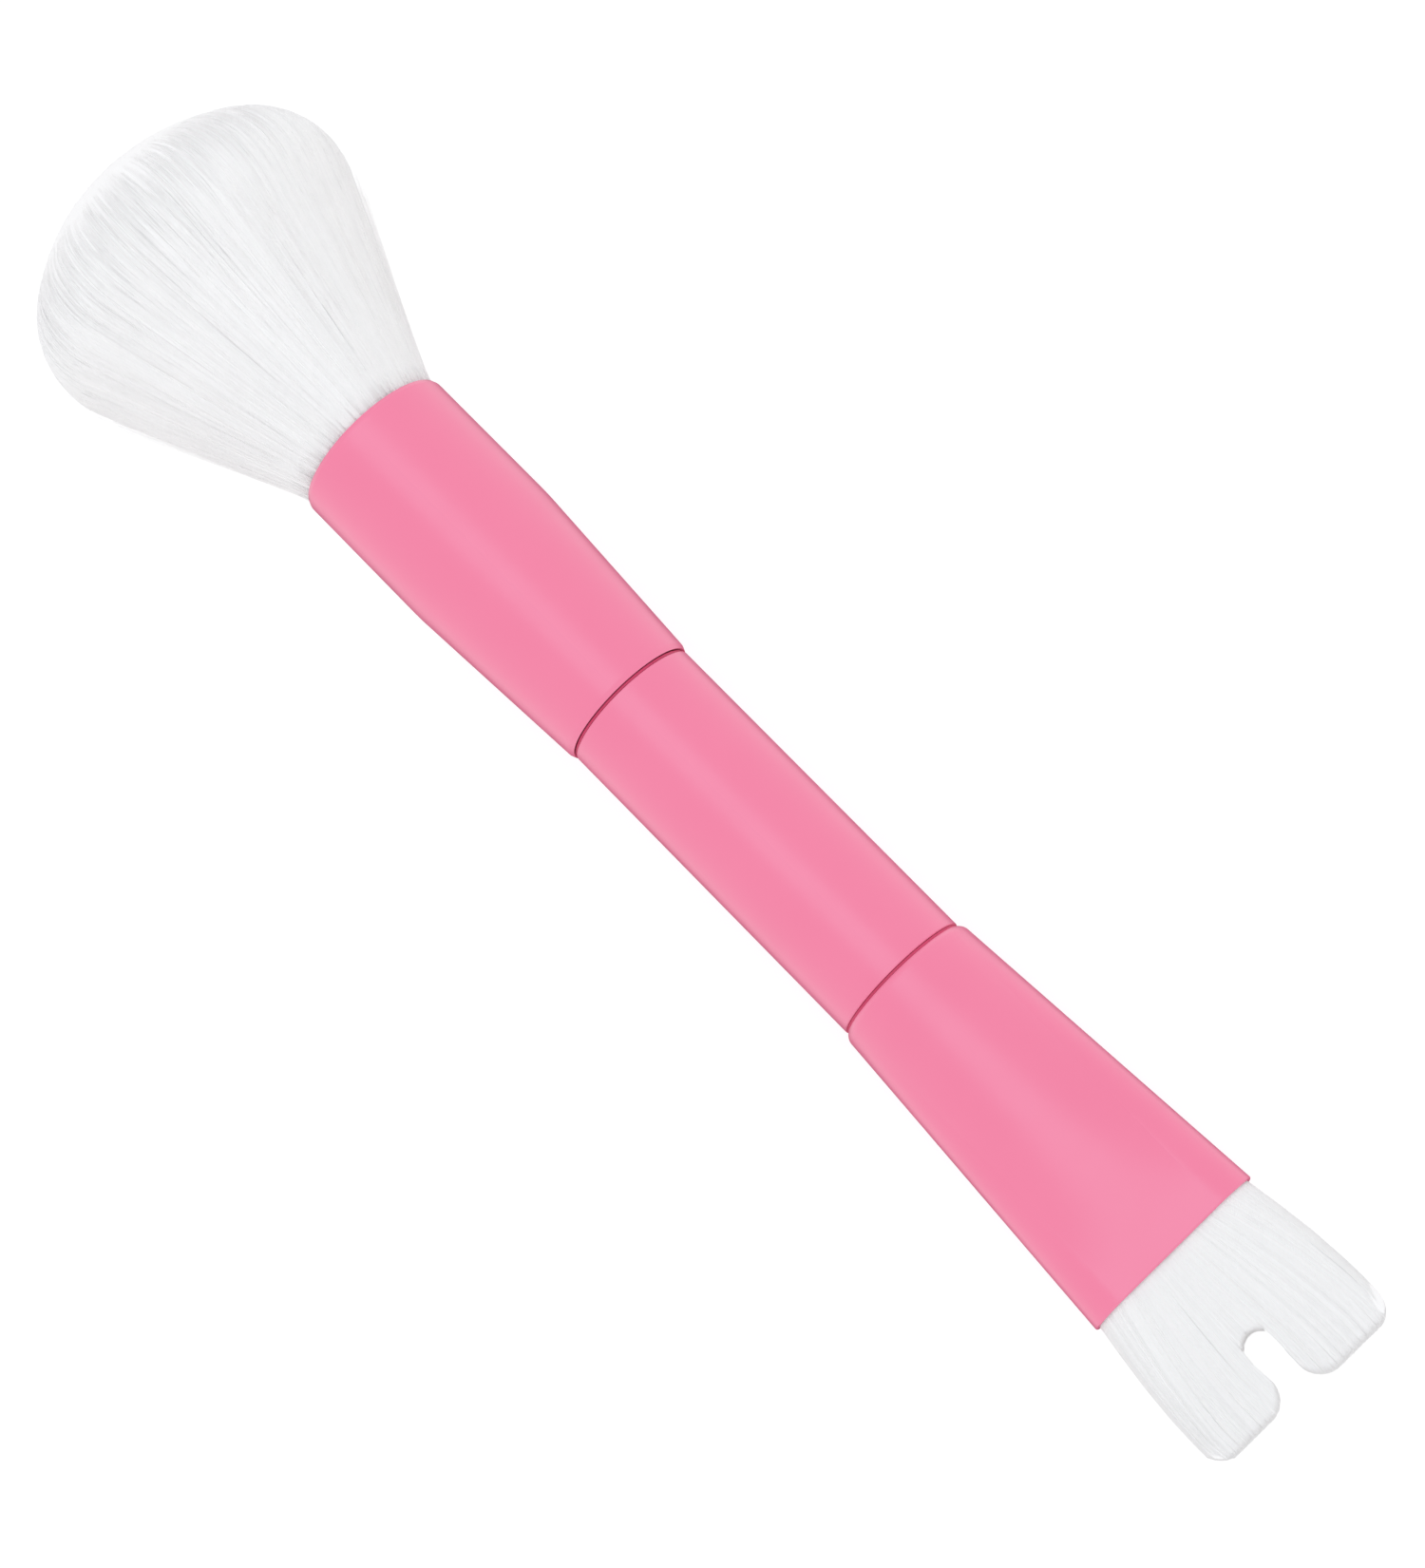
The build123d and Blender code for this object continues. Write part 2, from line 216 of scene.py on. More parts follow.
class Nodes:
    """A short way to write a material's nodes."""

    def __init__(self, name):
        self.material = bpy.data.materials.new(name)
        self.material.use_nodes = True
        self.tree = self.material.node_tree
        self.shader = self.tree.nodes["Principled BSDF"]

    def add(self, kind, inputs=(), **settings):
        node = self.tree.nodes.new(kind)
        for key, value in settings.items():
            setattr(node, key, value)
        for key, value in dict(inputs).items():
            if isinstance(value, bpy.types.NodeSocket):
                self.tree.links.new(value, node.inputs[key])
            else:
                node.inputs[key].default_value = value
        return node

    def place(self, scale):
        """Object coordinates, turned so that X runs along the brush, and stretched by scale."""
        coords = self.add("ShaderNodeTexCoord").outputs["Object"]
        lean = math.atan2(-AXIS[2], AXIS[0])
        turned = self.add("ShaderNodeMapping", {"Vector": coords, "Rotation": (0.0, -lean, 0.0)}).outputs[0]
        return self.add("ShaderNodeMapping", {"Vector": turned, "Scale": scale}).outputs[0]

    def noise(self, vector, scale, detail=2.0, roughness=0.5):
        inputs = {"Vector": vector, "Scale": scale, "Detail": detail, "Roughness": roughness}
        return self.add("ShaderNodeTexNoise", inputs).outputs["Fac"]

    def spread(self, value, low, high, start=0.3, end=0.7):
        """Turn a noise value into a number from low to high."""
        inputs = {"Value": value, "From Min": start, "From Max": end, "To Min": low, "To Max": high}
        return self.add("ShaderNodeMapRange", inputs).outputs["Result"]

    def blend(self, factor, first, second):
        node = self.add("ShaderNodeMix", {"Factor": factor}, data_type="RGBA")
        colours = [s for s in node.inputs if s.type == "RGBA"]
        for socket, colour in zip(colours, (first, second), strict=True):
            socket.default_value = (*colour, 1.0)
        return next(s for s in node.outputs if s.type == "RGBA")

    def bump(self, height, distance):
        node = self.add("ShaderNodeBump", {"Height": height, "Distance": distance})
        self.set("Normal", node.outputs["Normal"])

    def set(self, name, value):
        socket = self.shader.inputs[name]
        if isinstance(value, bpy.types.NodeSocket):
            self.tree.links.new(value, socket)
        else:
            socket.default_value = value


TONE = "tone"       # a mesh attribute: how far a filament is towards the darker colour; random, and raised as painted shade on the cores and the flat tuft's outer filaments
SIDE_TONE = 0.14    # the most of it on the round tuft's outer filaments, and on tips of the flat tuft
CROWN_TONE = 0.4    # the most of it on the tips that make up the round tuft's dome
FACE_TONE_AND_SHADE = 0.45    # the most of it on the flat tuft's outer filaments: random tone, widened as painted shade that darkens the whole flat tuft
CORE_PAINTED_SHADE = 0.6     # painted shade: what lies under the outer filaments is coloured darker, for the shade between the filaments
PINK = (0.915, 0.207, 0.356)
DEEP_PINK = (0.905, 0.200, 0.348)


def lacquer(name):
    """Satin pink lacquer on aluminium: a faint mottle, fine orange peel and a soft clear coat."""
    m = Nodes(name)
    here = m.place((1.0, 1.0, 1.0))
    mottle = m.noise(here, 90.0, 3.0)
    peel = m.noise(here, 900.0, 2.0)
    m.set("Base Color", m.blend(m.spread(mottle, 0.0, 1.0), PINK, DEEP_PINK))
    m.set("Roughness", m.spread(m.noise(here, 260.0, 3.0), 0.30, 0.38))
    m.set("Specular Tint", (0.3, 1.0, 1.0, 1.0))
    m.set("Coat Weight", 0.35)
    m.set("Coat Roughness", 0.3)
    m.bump(peel, 0.004 * MM)
    return m.material


def filament(name, bright, shade, painted_glow=0.0):
    """White synthetic filament: satin, and each filament a little lighter or darker than the next.

    The painted glow is painted light: a faint emission that brightens the white filaments, for light lost
    between them. The darker colour also carries painted shade, where the tone is raised on the cores and
    the flat tuft's outer filaments.
    """
    m = Nodes(name)
    locks = m.noise(m.place((0.12, 1.0, 1.0)), 700.0, 3.0, 0.6)
    tone = m.add("ShaderNodeAttribute", attribute_name=TONE).outputs["Fac"]
    mixed = m.add("ShaderNodeMath", {0: m.spread(locks, 0.0, 0.08), 1: tone}, operation="ADD").outputs[0]
    m.set("Base Color", m.blend(mixed, bright, shade))
    m.set("Roughness", m.spread(m.noise(m.place((0.05, 1.0, 1.0)), 2500.0), 0.45, 0.65))
    m.set("Specular IOR Level", 0.2)
    m.set("Sheen Weight", 0.05)
    m.set("Sheen Roughness", 0.5)
    m.set("Emission Color", WHITE)
    # painted light: a faint white emission that brightens the filaments
    m.set("Emission Strength", painted_glow)
    return m.material


def plastic(name, light, dark, roughness):
    """Moulded plastic or cast resin: faint flow marks and a fine grain."""
    m = Nodes(name)
    here = m.place((1.0, 1.0, 1.0))
    m.set("Base Color", m.blend(m.spread(m.noise(here, 180.0, 4.0), 0.0, 1.0), light, dark))
    m.set("Roughness", m.spread(m.noise(here, 700.0), roughness - 0.06, roughness + 0.06))
    m.bump(m.noise(here, 1800.0), 0.006 * MM)
    return m.material


def thread(name, light, dark):
    """Waxed thread: fine turns across the axis, with fibres along them."""
    m = Nodes(name)
    turns = m.noise(m.place((1.0, 0.08, 0.08)), 2600.0, 3.0)
    m.set("Base Color", m.blend(m.spread(turns, 0.0, 1.0), light, dark))
    m.set("Roughness", m.spread(turns, 0.6, 0.85))
    m.bump(turns, 0.03 * MM)
    return m.material


def make_materials():
    return {
        "grip_lacquer": lacquer("grip_lacquer"),
        "ferrule_lacquer": lacquer("ferrule_lacquer"),
        "insert_plastic": plastic("insert_plastic", (0.66, 0.05, 0.15), (0.58, 0.04, 0.12), 0.55),
        "resin": plastic("resin", (0.78, 0.68, 0.46), (0.70, 0.60, 0.38), 0.25),
        "thread": thread("thread", (0.80, 0.78, 0.72), (0.66, 0.64, 0.58)),
        "bonded_filament": filament("bonded_filament", (0.80, 0.79, 0.75), (0.72, 0.71, 0.66)),
        # the filament's emission is painted light, not a lamp
        "filament": filament("filament", (0.985, 0.968, 0.972), (0.85, 0.836, 0.842), painted_glow=0.05),
    }


def finish_cad_nodes(materials):
    """Give every CAD node its slot's material; the two tufts are replaced later."""
    for part in frame["record"]["subparts"]:
        node = frame["nodes"][part["node"]]
        for slot in node.material_slots:
            slot.link = "OBJECT"
            slot.material = materials[part["material_slot"]]


# ---------------------------------------------------------------- filaments


def make_mesh(name, points, triangles, tone):
    """A smooth-shaded mesh piece, with a tone at each of its points."""
    mesh = bpy.data.meshes.new(name)
    mesh.vertices.add(len(points))
    mesh.vertices.foreach_set("co", points.astype(np.float32).ravel())
    mesh.loops.add(triangles.size)
    mesh.loops.foreach_set("vertex_index", triangles.astype(np.int32).ravel())
    mesh.polygons.add(len(triangles))
    mesh.polygons.foreach_set("loop_start", (np.arange(len(triangles)) * 3).astype(np.int32))
    mesh.polygons.foreach_set("use_smooth", np.ones(len(triangles), bool))
    mesh.update(calc_edges=True)
    mesh.attributes.new(TONE, "FLOAT", "POINT").data.foreach_set("value", tone.astype(np.float32).ravel())
    piece = bpy.data.objects.new(name, mesh)
    bpy.context.scene.collection.objects.link(piece)
    return piece


def add_piece(piece, node, material):
    piece.data.materials.append(material)
    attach(piece, "root")
    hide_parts(node)


def grid_triangles(index):
    """Triangles over a grid of point numbers that closes round its second axis."""
    after = np.roll(index, -1, axis=1)
    a, b, c, d = index[:-1], after[:-1], after[1:], index[1:]
    return np.concatenate([np.stack([a, b, c], -1).reshape(-1, 3), np.stack([a, c, d], -1).reshape(-1, 3)])


def tubes(name, centres, radii, tone, rng):
    """Closed three-sided tubes along centres, an array of (strand, ring, 3), with a radius at each ring."""
    strands, rings, _ = centres.shape
    run = unit(centres[:, -1] - centres[:, 0])
    side = unit(np.cross(run, unit(rng.normal(size=(strands, 3)))))
    other = np.cross(run, side)
    turn = np.arange(3) * 2 * math.pi / 3
    spokes = np.cos(turn)[None, :, None] * side[:, None] + np.sin(turn)[None, :, None] * other[:, None]
    points = centres[:, :, None] + radii[..., None, None] * spokes[:, None]
    index = np.arange(strands * rings * 3).reshape(strands, rings, 3)
    after = np.roll(index, -1, axis=2)
    walls = np.stack([index[:, :-1], after[:, :-1], after[:, 1:], index[:, 1:]], axis=-1).reshape(-1, 4)
    triangles = np.concatenate([walls[:, [0, 1, 2]], walls[:, [0, 2, 3]], index[:, 0, ::-1], index[:, -1]])
    return make_mesh(name, points.reshape(-1, 3), triangles, np.repeat(tone, rings * 3))


MOST_TRIANGLES = 195_000        # in one piece
FILAMENT = 0.05 * MM            # radius
ROOTED = 2 * MM                 # how far filaments are modelled into the ferrules
STUB = np.array([1.2, 1.15, 0.95, 0.4])     # how thick the last stretch of a filament is, up to its tip


def make_strands(name, node, centres, radii, tone, material, rng):
    """Tubes along centres, split over as many pieces as they need."""
    strands, rings, _ = centres.shape
    count = math.ceil(strands * (6 * (rings - 1) + 2) / MOST_TRIANGLES)
    for i in range(count):
        pick = slice(i, None, count)
        add_piece(tubes(f"{name}_{i + 1}", centres[pick], radii[pick], tone[pick], rng), node, material)


def pull_to_locks(place, half_range, count, strength, rng):
    """Filaments in one lock draw together: how far each one shifts, by its place across the tuft."""
    locks = np.sort(rng.uniform(-half_range, half_range, count))
    nearest = locks[np.argmin(np.abs(place[:, None] - locks[None]), axis=1)]
    return strength * (nearest - place)


def streaks(angle, rng, first=20, last=240, step=4):
    """A random height round the tuft, about one deep, made of waves of many lengths."""
    waves = np.arange(first, last, step)
    size = rng.normal(size=len(waves)) / np.sqrt(len(waves))
    phase = rng.uniform(0, 2 * math.pi, len(waves))
    return (size * np.cos(angle[:, None] * waves + phase)).sum(axis=1)


# ---------------------------------------------------------------- round tuft


TUFT_BEND = 0.3 * MM
DOME_LEAN = 0.9 * MM
DOME_WEAR = 0.5 * MM        # how much shorter the dome is at its tip
ROOT_TAPER = 0.25           # how fast the bundle narrows inside the ferrule
SHOULDER_TURN = 0.03        # the outline's slope falls by this much where the shoulder starts
CORE_DEPTH = 0.3 * MM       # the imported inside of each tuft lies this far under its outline
LIFT = 0.05 * MM            # the outer filaments lie this far above that inside
BEDDING = 0.025 * MM        # and vary by this much each way
RELIEF = 0.01 * MM          # height of the streaks on that inside
CORE_RINGS = 96
CORE_SECTORS = 900
RIM = 6500                  # filaments round the outside of the round tuft
CROWN = 18_000              # filaments inside it, which show only where they end
STRAYS = 240
RIM_END = 0.35              # the least share of the tips at which a filament of the rim ends
RIM_STEPS = np.linspace(0, 1, 18)           # rings of one, over the shoulder
TIP_START = 0.75            # where a filament of the rim starts to get thinner, by its length
ROUND_LOCKS = 170           # the rim's filaments gather in this many locks
ROUND_PULL = 0.06           # and are drawn this share of the way to them


class RoundTuft:
    """The outline of the round tuft, from its mouth over the belly and dome to its tip.

    A place on the outline is a run, the distance along it from the mouth.
    """

    def __init__(self):
        station, across, rise = on_brush(points_of("round_tuft"))
        radius = np.hypot(across, rise)
        self.mouth = on_brush(points_of("round_ferrule"))[0].min()
        free = (station <= self.mouth + 0.01 * MM) & (radius > 0)
        order = np.argsort(-station[free])
        s, r = station[free][order], radius[free][order]
        keep = np.append(True, np.diff(s) < -0.02 * MM)
        s, r = np.append(s[keep], station.min()), np.append(r[keep], 0.0)
        self.run = np.append(0.0, np.cumsum(np.hypot(np.diff(s), np.diff(r))))
        self.s, self.r = s, r
        self.length = self.run[-1]
        self.neck = r[0]
        self.belly = s[np.argmax(r)]
        even = np.linspace(0, self.length, 400)
        rising = np.diff(np.interp(even, self.run, r)) / np.diff(even)
        self.shoulder = even[np.argmax(rising < rising[10] - SHOULDER_TURN)]
        self.crown = np.linspace(self.shoulder, self.length, 300)
        area = np.cumsum(np.interp(self.crown, self.run, r)[::-1])[::-1]
        self.share = area / area[0]

    def run_of_share(self, share):
        """The run where filaments end, by their share of the tips: 0 at the tip, 1 at the shoulder."""
        return np.interp(share, self.share[::-1], self.crown[::-1])

    def at(self, run, depth):
        """Station and radius at a run, a depth inside the outline."""
        gap = 0.05 * MM
        s, r = np.interp(run, self.run, self.s), np.interp(run, self.run, self.r)
        inside = np.clip(run, gap, self.length - gap)
        ds = np.interp(inside + gap, self.run, self.s) - np.interp(inside - gap, self.run, self.s)
        dr = np.interp(inside + gap, self.run, self.r) - np.interp(inside - gap, self.run, self.r)
        size = np.hypot(ds, dr)
        before = np.minimum(run, 0.0)
        return s - depth * dr / size - before, r + depth * ds / size + ROOT_TAPER * before

    def place(self, s, r, angle):
        """Points in the row frame; the tuft bends a little towards +Y, and its worn dome leans back."""
        dome = np.clip((self.belly - s) / (self.belly - self.s.min()), 0, 1) ** 2
        bend = TUFT_BEND * smooth((self.mouth - s) / (self.mouth - self.s.min())) - DOME_LEAN * dome
        return to_row(s + DOME_WEAR * dome, r * np.cos(angle) + bend, r * np.sin(angle))


def make_round_core(tuft, material):
    """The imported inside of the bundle, just under its outermost filaments, streaked along its length."""
    rng = np.random.default_rng(SEED + 5)
    angle = np.linspace(0, 2 * math.pi, CORE_SECTORS, endpoint=False)
    run = np.append(-ROOTED, np.linspace(0, tuft.length - 0.1 * MM, CORE_RINGS))
    s, r = tuft.at(run, CORE_DEPTH)
    r = np.maximum(r, 0.02 * MM)
    r = r[:, None] + RELIEF * streaks(angle, rng)[None, :] * (r / r.max())[:, None]
    points = tuft.place(s[:, None], r, angle).reshape(-1, 3)
    index = np.arange(len(points)).reshape(-1, len(angle))
    ends = tuft.place(s[[0, -1]], np.zeros(2), np.zeros(2))
    after = np.roll(index, -1, axis=1)
    root = np.stack([after[0], index[0], np.full(len(angle), len(points))], -1)
    crown = np.stack([index[-1], after[-1], np.full(len(angle), len(points) + 1)], -1)
    points = np.concatenate([points, ends])
    triangles = np.concatenate([grid_triangles(index), root, crown])
    # the core is coloured darker as painted shade, for the shade inside the bundle
    core = make_mesh("round_tuft_core", points, triangles, np.full(len(points), CORE_PAINTED_SHADE))
    add_piece(core, "round_tuft", material)


def make_rim(tuft, material, rng):
    """The outside of the bundle, seen along its whole length: it follows the outline over the shoulder."""
    angle = rng.uniform(-math.pi, math.pi, RIM)
    end = tuft.run_of_share(rng.uniform(RIM_END, 1.0, RIM))
    flare = np.tile([-ROOTED, 0, tuft.shoulder / 2], (RIM, 1))
    run = np.hstack([flare, tuft.shoulder + (end - tuft.shoulder)[:, None] * RIM_STEPS])
    level = run / end[:, None]
    last = smooth((level - TIP_START) / (1 - TIP_START))
    depth = CORE_DEPTH - LIFT + rng.uniform(-BEDDING, BEDDING, RIM)[:, None]
    depth = depth - rng.uniform(0, 0.03 * MM, RIM)[:, None] * last
    s, r = tuft.at(run, depth)
    shift = pull_to_locks(angle, math.pi, ROUND_LOCKS, ROUND_PULL, rng) + rng.normal(0, 0.004, RIM)
    centres = tuft.place(s, r, angle[:, None] + shift[:, None] * smooth(level))
    radii = FILAMENT * (1 - 0.7 * last) * rng.uniform(0.8, 1.2, (RIM, 1))
    tone = rng.uniform(0, SIDE_TONE, RIM)
    make_strands("round_tuft_rim", "round_tuft", centres, radii, tone, material, rng)


def make_crown(tuft, material, rng):
    """The rest of the bundle, seen only where it ends: the last stretch of each filament, straight."""
    share = (np.arange(CROWN) + 0.5) / CROWN
    angle = np.arange(CROWN) * math.pi * (3 - math.sqrt(5)) + rng.normal(0, 0.01, CROWN)
    proud = np.clip(rng.normal(0.03 * MM, 0.04 * MM, CROWN), -0.06 * MM, 0.13 * MM)
    proud = proud + rng.uniform(0, 0.25 * MM, CROWN) * (rng.random(CROWN) < 0.02)
    tip_s, tip_r = tuft.at(tuft.run_of_share(share), CORE_DEPTH - proud)
    root_r = tuft.neck * np.sqrt(share) * 0.95
    level = np.linspace(0.82, 1, len(STUB))
    s = tuft.mouth + (tip_s - tuft.mouth)[:, None] * level
    r = root_r[:, None] + (tip_r - root_r)[:, None] * level
    angle = angle[:, None] + rng.normal(0, 0.006, CROWN)[:, None] * smooth((level - 0.8) / 0.2)
    centres = tuft.place(s, r, angle)
    radii = FILAMENT * STUB * rng.uniform(0.8, 1.2, (CROWN, 1))
    tone = rng.uniform(0, CROWN_TONE, CROWN)
    make_strands("round_tuft_inner", "round_tuft", centres, radii, tone, material, rng)


def make_strays(tuft, material, rng):
    """A few filaments that stand off the rim."""
    angle = rng.uniform(-math.pi, math.pi, STRAYS)
    end = tuft.run_of_share(rng.uniform(0.6, 1.0, STRAYS)) * rng.uniform(0.8, 1.01, STRAYS)
    level = np.linspace(0, 1, 8)
    run = -ROOTED + (end + ROOTED)[:, None] * level
    off = np.abs(rng.normal(0, 0.5 * MM, STRAYS))
    s, r = tuft.at(run, 0.2 * MM - off[:, None] * level**2)
    centres = tuft.place(s, r, angle[:, None] + rng.normal(0, 0.05, STRAYS)[:, None] * level**2)
    centres[..., 2] = np.maximum(centres[..., 2], cad_low.z + FILAMENT)     # the table holds them up
    radii = 0.8 * FILAMENT * (1 - 0.6 * level) * np.ones((STRAYS, 1))
    tone = rng.uniform(0, SIDE_TONE, STRAYS)
    make_strands("round_tuft_strays", "round_tuft", centres, radii, tone, material, rng)


def make_round_tuft(material):
    rng = np.random.default_rng(SEED)
    tuft = RoundTuft()
    make_round_core(tuft, material)
    make_rim(tuft, material, rng)
    make_crown(tuft, material, rng)
    make_strays(tuft, material, rng)


# ---------------------------------------------------------------- flat tuft

NOTCH_RADIUS = 1.85 * MM
LOBE_CORNER = 2.9 * MM
FULL_WIDTH_REACH = 14 * MM
VOXEL = 0.2 * MM
SWERVE = 0.28 * MM          # how far filaments swerve round the notch's end
SWERVE_START = 1.5 * MM     # how far from the notch's middle the tips are that swerve the most
SWERVE_GAP = 0.06 * MM      # those nearer than this beyond it end at the notch, and don't swerve
SWERVE_FADE = 1.2 * MM      # how the swerve fades across the tuft
SWERVE_SPAN = 1.8 * MM      # and along it
SIDE_SHARE = 0.3            # of the filaments, on the flat tuft's two round sides
FLAT_OUTER = 8500           # filaments round its outside
FLAT_INNER = 9000           # filaments inside it, which show only where they end
FLAT_NOTCH = 700            # filaments along the walls of its notch
FLAT_STUB = np.maximum(STUB, 0.8)
FLAT_STUB_LENGTH = 2.4 * MM
FLAT_STEPS = np.array([0, 0.09, 0.3, 0.51, 0.72, 0.86, 0.96, 1])    # rings of an outer filament
NOTCH_STEPS = np.linspace(0, 1, 6)
FLAT_LOCKS = 75             # its filaments gather in this many locks
FLAT_PULL = 0.14            # and are drawn this share of the way to them
SECTIONS = 12               # places where its width and thickness are measured


def even_mesh(node):
    """Points, normals and triangles of a CAD node's outside, remeshed evenly and slightly rounded."""
    source = bpy.data.objects.new("source", frame["nodes"][node].data.copy())
    bpy.context.scene.collection.objects.link(source)
    remesh = source.modifiers.new("remesh", "REMESH")
    remesh.mode = "VOXEL"
    remesh.voxel_size = VOXEL
    even_out = source.modifiers.new("even_out", "SMOOTH")
    even_out.factor = 0.5
    even_out.iterations = 6
    bpy.context.view_layer.update()
    mesh = source.evaluated_get(bpy.context.evaluated_depsgraph_get()).to_mesh()
    mesh.calc_loop_triangles()
    points, normals = np.zeros(len(mesh.vertices) * 3), np.zeros(len(mesh.vertices) * 3)
    triangles = np.zeros(len(mesh.loop_triangles) * 3, np.int32)
    mesh.vertices.foreach_get("co", points)
    mesh.vertices.foreach_get("normal", normals)
    mesh.loop_triangles.foreach_get("vertices", triangles)
    bpy.data.objects.remove(source)
    return points.reshape(-1, 3), normals.reshape(-1, 3), triangles.reshape(-1, 3)


class FlatTuft:
    """The outline of the flat tuft: its width and thickness along its length, two lobes and a notch."""

    def __init__(self):
        self.points, self.normals, self.triangles = even_mesh("flat_tuft")
        self.station, self.across, self.rise = on_brush(self.points)
        self.mouth = on_brush(points_of("flat_ferrule"))[0].max()
        self.tip = on_brush(points_of("flat_tuft"))[0].max()
        self.full = self.mouth + FULL_WIDTH_REACH
        self.ends = np.linspace(self.mouth, self.tip - 1.5 * MM, SECTIONS)
        self.halves, self.thicks = zip(*(self.section(station) for station in self.ends), strict=True)
        self.half, self.thick = self.section(self.full)
        self.short_tip = self.station[self.across < -self.half / 2].max()
        near_end = (self.station > self.tip - 4 * MM) & (np.abs(self.across) < self.half / 2)
        self.upper_edge = self.across[near_end & (self.across > 0)].min()
        self.lower_edge = self.across[near_end & (self.across < 0)].max()
        self.notch_middle = (self.upper_edge + self.lower_edge) / 2
        in_notch = np.abs(self.across - self.notch_middle) < 0.4 * MM
        self.notch_floor = self.station[in_notch & (np.abs(self.rise) < self.thick / 2)].max()

    def section(self, station):
        """Half the width and half the thickness at a station."""
        here = np.abs(self.station - station) < VOXEL
        return np.abs(self.across[here]).max(), np.abs(self.rise[here]).max()

    def tip_station(self, across):
        """Where a filament ends, by where its tip lies across the tuft."""
        upper = across > self.notch_middle
        end = np.where(upper, self.tip, self.short_tip)
        inner = np.where(upper, across - self.upper_edge, self.lower_edge - across)
        into = np.clip(LOBE_CORNER - np.minimum(inner, self.half - np.abs(across)), 0, LOBE_CORNER)
        lobe = end - LOBE_CORNER + np.sqrt(LOBE_CORNER**2 - into**2)
        chord = NOTCH_RADIUS**2 - (across - self.notch_middle) ** 2
        notch = self.notch_floor + NOTCH_RADIUS - np.sqrt(np.clip(chord, 0, None))
        return np.where(inner < 0, notch, lobe)

    def place(self, lane, turn, level, station):
        """Places across the tuft, whose section has two flat faces and two round sides.

        Lane, -1 to 1, is the place along the flat part, turn the direction from there to the outline,
        and level how far out towards it: 1 lies CORE_DEPTH inside the outline.
        """
        thick = np.interp(station, self.ends, self.thicks)
        straight = np.interp(station, self.ends, self.halves) - thick
        reach = (thick - CORE_DEPTH) * level
        return lane * straight + reach * np.cos(turn), reach * np.sin(turn)

    def bend_round_notch(self, tip, station):
        """How far filaments swerve from the notch's round end, by where their tips lie across the tuft."""
        beside = np.abs(tip - self.notch_middle) - SWERVE_START
        push = np.where(beside > SWERVE_GAP, np.exp(-np.clip(beside, 0, None) / SWERVE_FADE), 0.0)
        level = np.exp(-(((station - self.notch_floor - NOTCH_RADIUS) / SWERVE_SPAN) ** 2))
        return SWERVE * np.sign(tip - self.notch_middle) * push * level


def make_flat_core(tuft, material):
    """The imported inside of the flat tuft: its CAD solid, drawn in, and streaked along its length."""
    rng = np.random.default_rng(SEED + 6)
    fan = tuft.across / np.interp(tuft.station, tuft.ends, tuft.halves)
    relief = RELIEF * streaks(math.pi / 2 * fan, rng) * np.abs(tuft.normals @ RISE)
    points = tuft.points + tuft.normals * (relief - CORE_DEPTH)[:, None]
    # the core is coloured darker as painted shade, for the shade inside the bundle
    core = make_mesh("flat_tuft_core", points, tuft.triangles, np.full(len(points), CORE_PAINTED_SHADE))
    add_piece(core, "flat_tuft", material)


def around(count, rng):
    """Random lanes and turns, some on the two flat faces and the rest on the two round sides."""
    rounded = rng.random(count) < SIDE_SHARE
    side = rng.choice([-1, 1], count)
    turn = np.where(rounded, rng.uniform(-math.pi / 2, math.pi / 2, count), math.pi / 2 * side)
    lane = np.where(rounded, side, rng.uniform(-1, 1, count))
    return lane, np.where(rounded & (side < 0), math.pi - turn, turn)


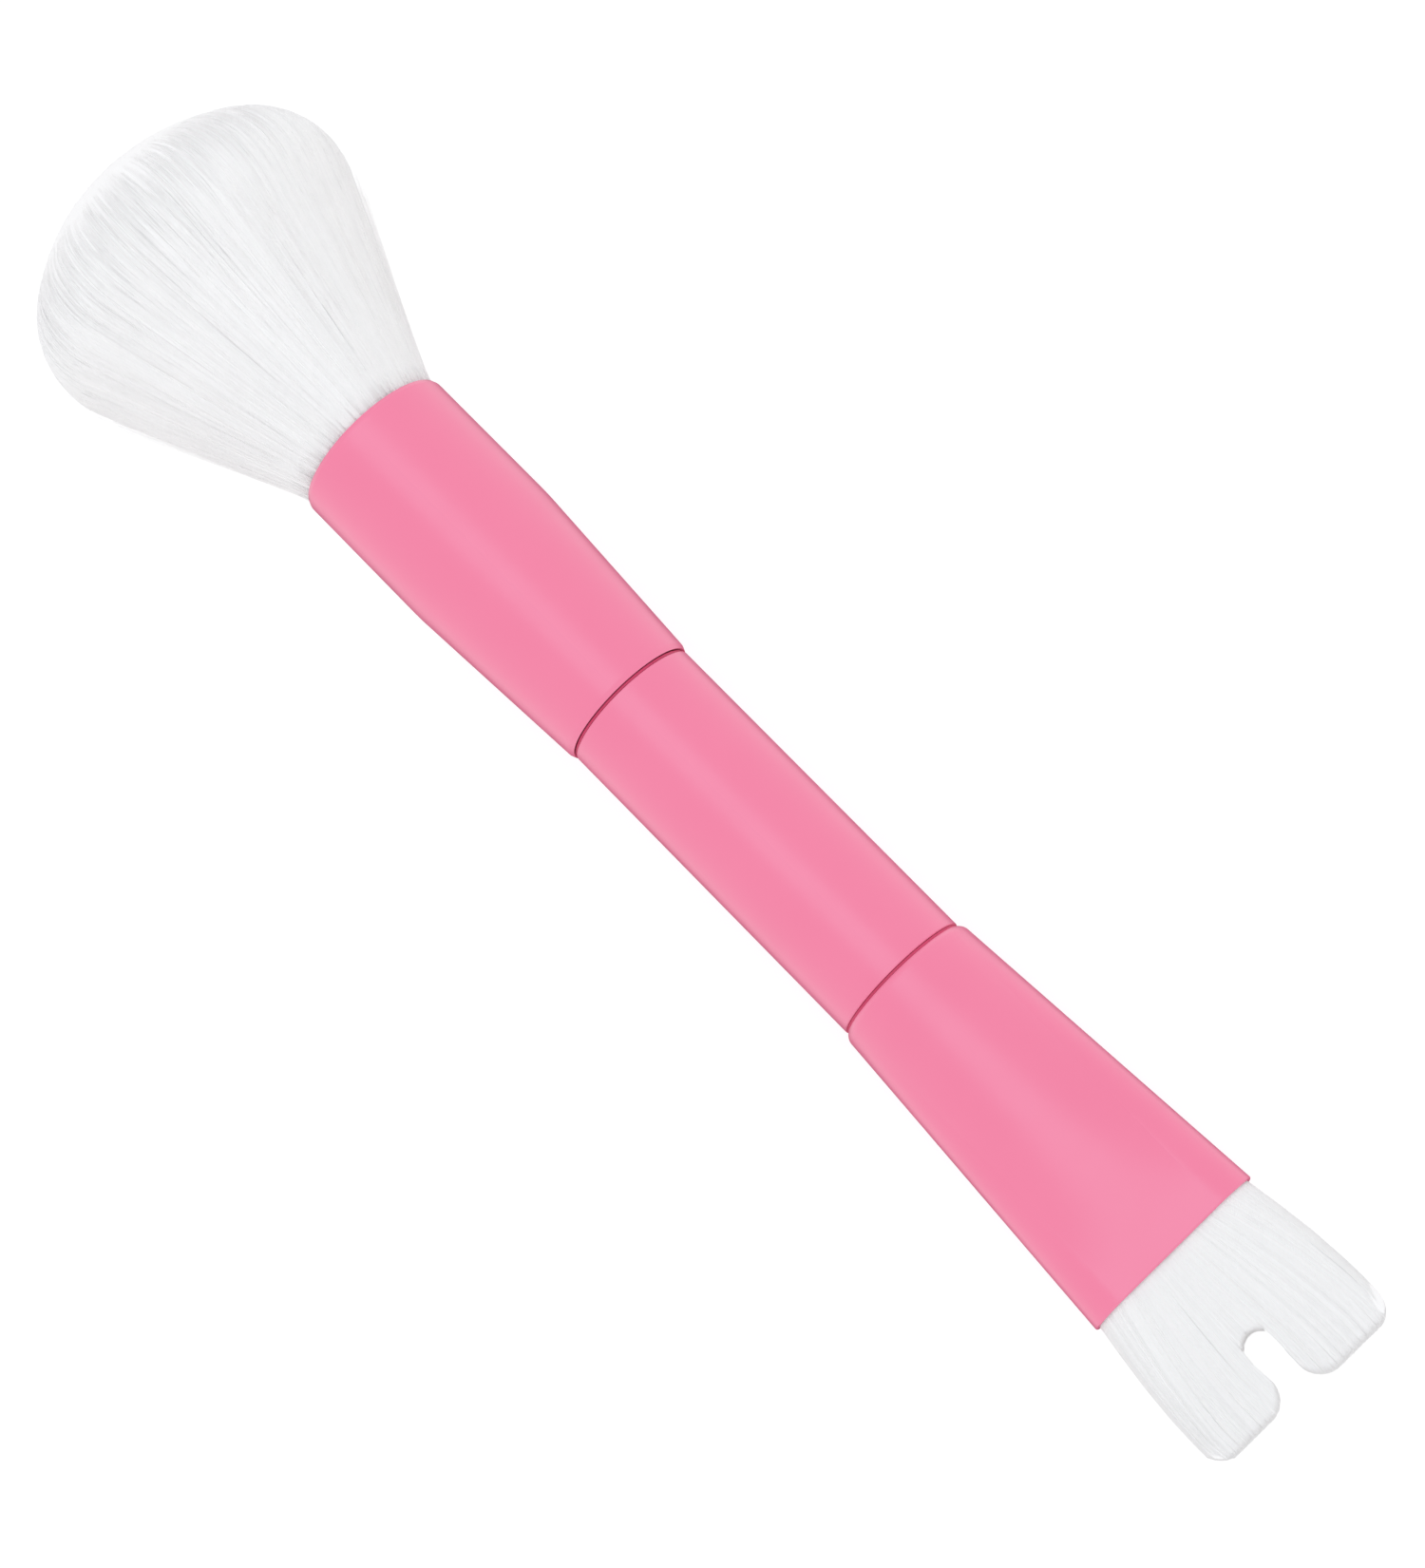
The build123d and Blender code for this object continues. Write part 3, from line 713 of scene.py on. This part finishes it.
class FlatStrands:
    """Makes filaments of the flat tuft, all from one run of random numbers."""

    def __init__(self, tuft, material, rng):
        self.tuft = tuft
        self.material = material
        self.rng = rng

    def add(self, name, where, start, steps, taper, most_tone_and_shade=SIDE_TONE):
        """Add filaments from a start station, or a reach before their tips, in steps to their tips."""
        tuft, rng = self.tuft, self.rng
        lane, turn, level = where
        count = len(lane)
        tip = tuft.place(lane, turn, level, tuft.full)[0]
        proud = np.clip(rng.normal(0.05 * MM, 0.05 * MM, count), -0.05 * MM, 0.18 * MM)
        end = tuft.tip_station(tip) - CORE_DEPTH + proud
        first = np.where(start < 0, end + start, start)
        s = first[:, None] + (end - first)[:, None] * steps
        along = np.clip((s - tuft.mouth) / (tuft.tip - tuft.mouth), 0, 1)
        across, rise = tuft.place(lane[:, None], turn[:, None], level[:, None], s)
        shift = pull_to_locks(tip, tuft.half, FLAT_LOCKS, FLAT_PULL, rng)
        across = across + shift[:, None] * along + tuft.bend_round_notch(tip[:, None], s)
        radii = FILAMENT * taper * rng.uniform(0.8, 1.2, (count, 1))
        # random tone per filament; on the flat tuft's outer filaments its wider range is painted shade
        tone = rng.uniform(0, most_tone_and_shade, count)
        make_strands(name, "flat_tuft", to_row(s, across, rise), radii, tone, self.material, rng)

    def add_outer(self):
        """Filaments on the outside, seen along their whole length."""
        lane, turn = around(FLAT_OUTER, self.rng)
        level = 1 + (LIFT + self.rng.uniform(-BEDDING, BEDDING, FLAT_OUTER)) / self.tuft.thick
        thin = np.append(np.ones(len(FLAT_STEPS) - 1), 0.6)
        start = self.tuft.mouth - ROOTED
        # the outer filaments' tone range holds painted shade as well as random tone, darkening the flat
        # tuft
        self.add("flat_tuft_outer", (lane, turn, level), start, FLAT_STEPS, thin, FACE_TONE_AND_SHADE)

    def add_inner(self):
        """The rest, seen only where it ends."""
        lane, turn = around(FLAT_INNER, self.rng)
        level = self.rng.uniform(0, 1, FLAT_INNER) ** np.where(np.abs(lane) == 1, 0.5, 1)
        steps = np.linspace(0, 1, len(FLAT_STUB))
        self.add("flat_tuft_inner", (lane, turn, level), -FLAT_STUB_LENGTH, steps, FLAT_STUB)

    def add_notch(self):
        """The walls of the notch."""
        tuft, rng = self.tuft, self.rng
        edge = rng.choice([tuft.upper_edge, tuft.lower_edge], FLAT_NOTCH)
        outward = np.sign(edge - tuft.notch_middle)
        tip = edge + outward * rng.uniform(0.02, 0.2, FLAT_NOTCH) * MM
        lane = tip / (tuft.half - tuft.thick)
        level = rng.uniform(0, 1, FLAT_NOTCH)
        turn = math.pi / 2 * rng.choice([-1, 1], FLAT_NOTCH)
        thin = 1 - 0.5 * NOTCH_STEPS
        start = tuft.notch_floor - MM
        self.add("flat_tuft_notch", (lane, turn, level), start, NOTCH_STEPS, thin)


def make_flat_tuft(material):
    rng = np.random.default_rng(SEED + 1)
    tuft = FlatTuft()
    make_flat_core(tuft, material)
    strands = FlatStrands(tuft, material, rng)
    strands.add_outer()
    strands.add_inner()
    strands.add_notch()


# ---------------------------------------------------------------- the scene

make_camera()
make_studio()
make_floor()
materials = make_materials()
finish_cad_nodes(materials)
make_round_tuft(materials["filament"])
make_flat_tuft(materials["filament"])
